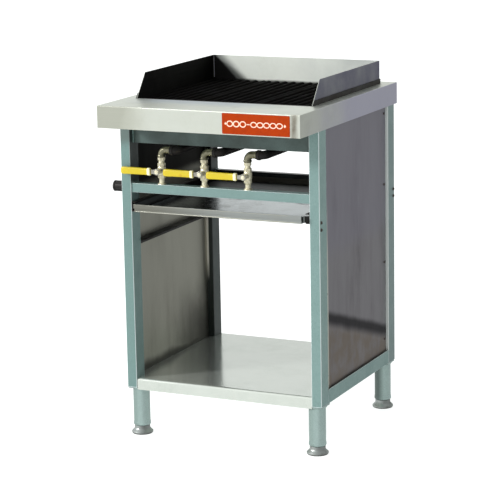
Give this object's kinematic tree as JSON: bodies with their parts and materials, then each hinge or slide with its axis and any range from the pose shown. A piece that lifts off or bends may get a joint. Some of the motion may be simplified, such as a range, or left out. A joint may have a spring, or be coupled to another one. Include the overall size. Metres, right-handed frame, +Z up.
{
  "type": "gas charbroiler",
  "caption": "Free-standing gas charbroiler on an open stand: cast grates in a splash guard, burners with lever valves, sliding drip tray, bottom shelf and adjustable feet.",
  "frame": {"origin": "centre of the bounding box at floor level", "axes": "+Z up, -Y towards the cook at the front, +X to the cook's right when facing the grill's front"},
  "size_m": [0.6406, 0.7112, 1.042],
  "materials": {
    "stainless": "brushed stainless sheet",
    "side_steel": "dull stainless sheet, scratched",
    "polished_steel": "mirror-polished stainless sheet",
    "frame_paint": "blue-green hammered paint",
    "black_iron": "heat-blackened steel",
    "cast_iron": "seasoned cast iron",
    "nickel": "nickel-plated brass",
    "lever_steel": "zinc-plated steel",
    "yellow_sleeve": "dipped vinyl",
    "badge_red": "red-orange enamel",
    "foot_steel": "grey-green painted steel"
  },
  "bodies": {
    "stand": {"deck_pan": "stainless", "splash_guard_left": "stainless", "splash_guard_right": "stainless", "splash_guard_rear": "stainless", "side_panel_left": "side_steel", "side_panel_right": "side_steel", "bottom_shelf": "polished_steel", "leg_front_left": "frame_paint", "leg_front_right": "frame_paint", "leg_rear_left": "frame_paint", "leg_rear_right": "frame_paint", "front_apron": "frame_paint", "rear_apron": "frame_paint", "rear_cross_rail": "frame_paint", "lower_side_rail_left": "frame_paint", "lower_side_rail_right": "frame_paint", "gas_manifold": "frame_paint", "firebox": "black_iron", "burner_left": "black_iron", "burner_centre": "black_iron", "burner_right": "black_iron", "burner_rest": "black_iron", "inlet_nipple": "black_iron", "inlet_socket": "black_iron", "shelf_ledge_left": "black_iron", "shelf_ledge_right": "black_iron", "tray_channel_left": "black_iron", "tray_channel_right": "black_iron", "radiant_left": "cast_iron", "radiant_centre": "cast_iron", "radiant_right": "cast_iron", "elbow_left": "nickel", "elbow_centre": "nickel", "elbow_right": "nickel", "valve_body_left": "nickel", "valve_body_centre": "nickel", "valve_body_right": "nickel", "badge_plate": "badge_red", "foot_tube_front_left": "foot_steel", "foot_tube_rear_left": "foot_steel", "foot_tube_front_right": "foot_steel", "foot_tube_rear_right": "foot_steel"},
    "lever_left": {"valve_stem_left": "nickel", "valve_lever_left": "lever_steel", "lever_sleeve_left": "yellow_sleeve"},
    "lever_centre": {"valve_stem_centre": "nickel", "valve_lever_centre": "lever_steel", "lever_sleeve_centre": "yellow_sleeve"},
    "lever_right": {"valve_stem_right": "nickel", "valve_lever_right": "lever_steel", "lever_sleeve_right": "yellow_sleeve"},
    "drip_tray": {"drip_tray": "polished_steel"},
    "levelling_foot_front_left": {"levelling_foot_front_left": "foot_steel"},
    "levelling_foot_rear_left": {"levelling_foot_rear_left": "foot_steel"},
    "levelling_foot_front_right": {"levelling_foot_front_right": "foot_steel"},
    "levelling_foot_rear_right": {"levelling_foot_rear_right": "foot_steel"},
    "grate_left": {"grate_left": "cast_iron"},
    "grate_centre": {"grate_centre": "cast_iron"},
    "grate_right": {"grate_right": "cast_iron"}
  },
  "joints": [
    {"name": "valve_left_turn", "type": "hinge", "parent": "stand", "child": "lever_left", "pos_m": [-0.16975, -0.212, 0.778], "axis": [0, 1, 0], "range_deg": [0, 90]},
    {"name": "valve_centre_turn", "type": "hinge", "parent": "stand", "child": "lever_centre", "pos_m": [-0.03675, -0.212, 0.778], "axis": [0, 1, 0], "range_deg": [0, 90]},
    {"name": "valve_right_turn", "type": "hinge", "parent": "stand", "child": "lever_right", "pos_m": [0.09625, -0.212, 0.778], "axis": [0, 1, 0], "range_deg": [0, 90]},
    {"name": "drip_tray_slide", "type": "slide", "parent": "stand", "child": "drip_tray", "axis": [0, -1, 0], "range_m": [0, 0.42]},
    {"name": "levelling_front_left", "type": "slide", "parent": "stand", "child": "levelling_foot_front_left", "axis": [0, 0, -1], "range_m": [0, 0.025]},
    {"name": "levelling_rear_left", "type": "slide", "parent": "stand", "child": "levelling_foot_rear_left", "axis": [0, 0, -1], "range_m": [0, 0.025]},
    {"name": "levelling_front_right", "type": "slide", "parent": "stand", "child": "levelling_foot_front_right", "axis": [0, 0, -1], "range_m": [0, 0.025]},
    {"name": "levelling_rear_right", "type": "slide", "parent": "stand", "child": "levelling_foot_rear_right", "axis": [0, 0, -1], "range_m": [0, 0.025]},
    {"name": "grate_left_lift", "type": "slide", "parent": "stand", "child": "grate_left", "axis": [0, 0, 1], "range_m": [0, 0.1]},
    {"name": "grate_centre_lift", "type": "slide", "parent": "stand", "child": "grate_centre", "axis": [0, 0, 1], "range_m": [0, 0.1]},
    {"name": "grate_right_lift", "type": "slide", "parent": "stand", "child": "grate_right", "axis": [0, 0, 1], "range_m": [0, 0.1]}
  ]
}
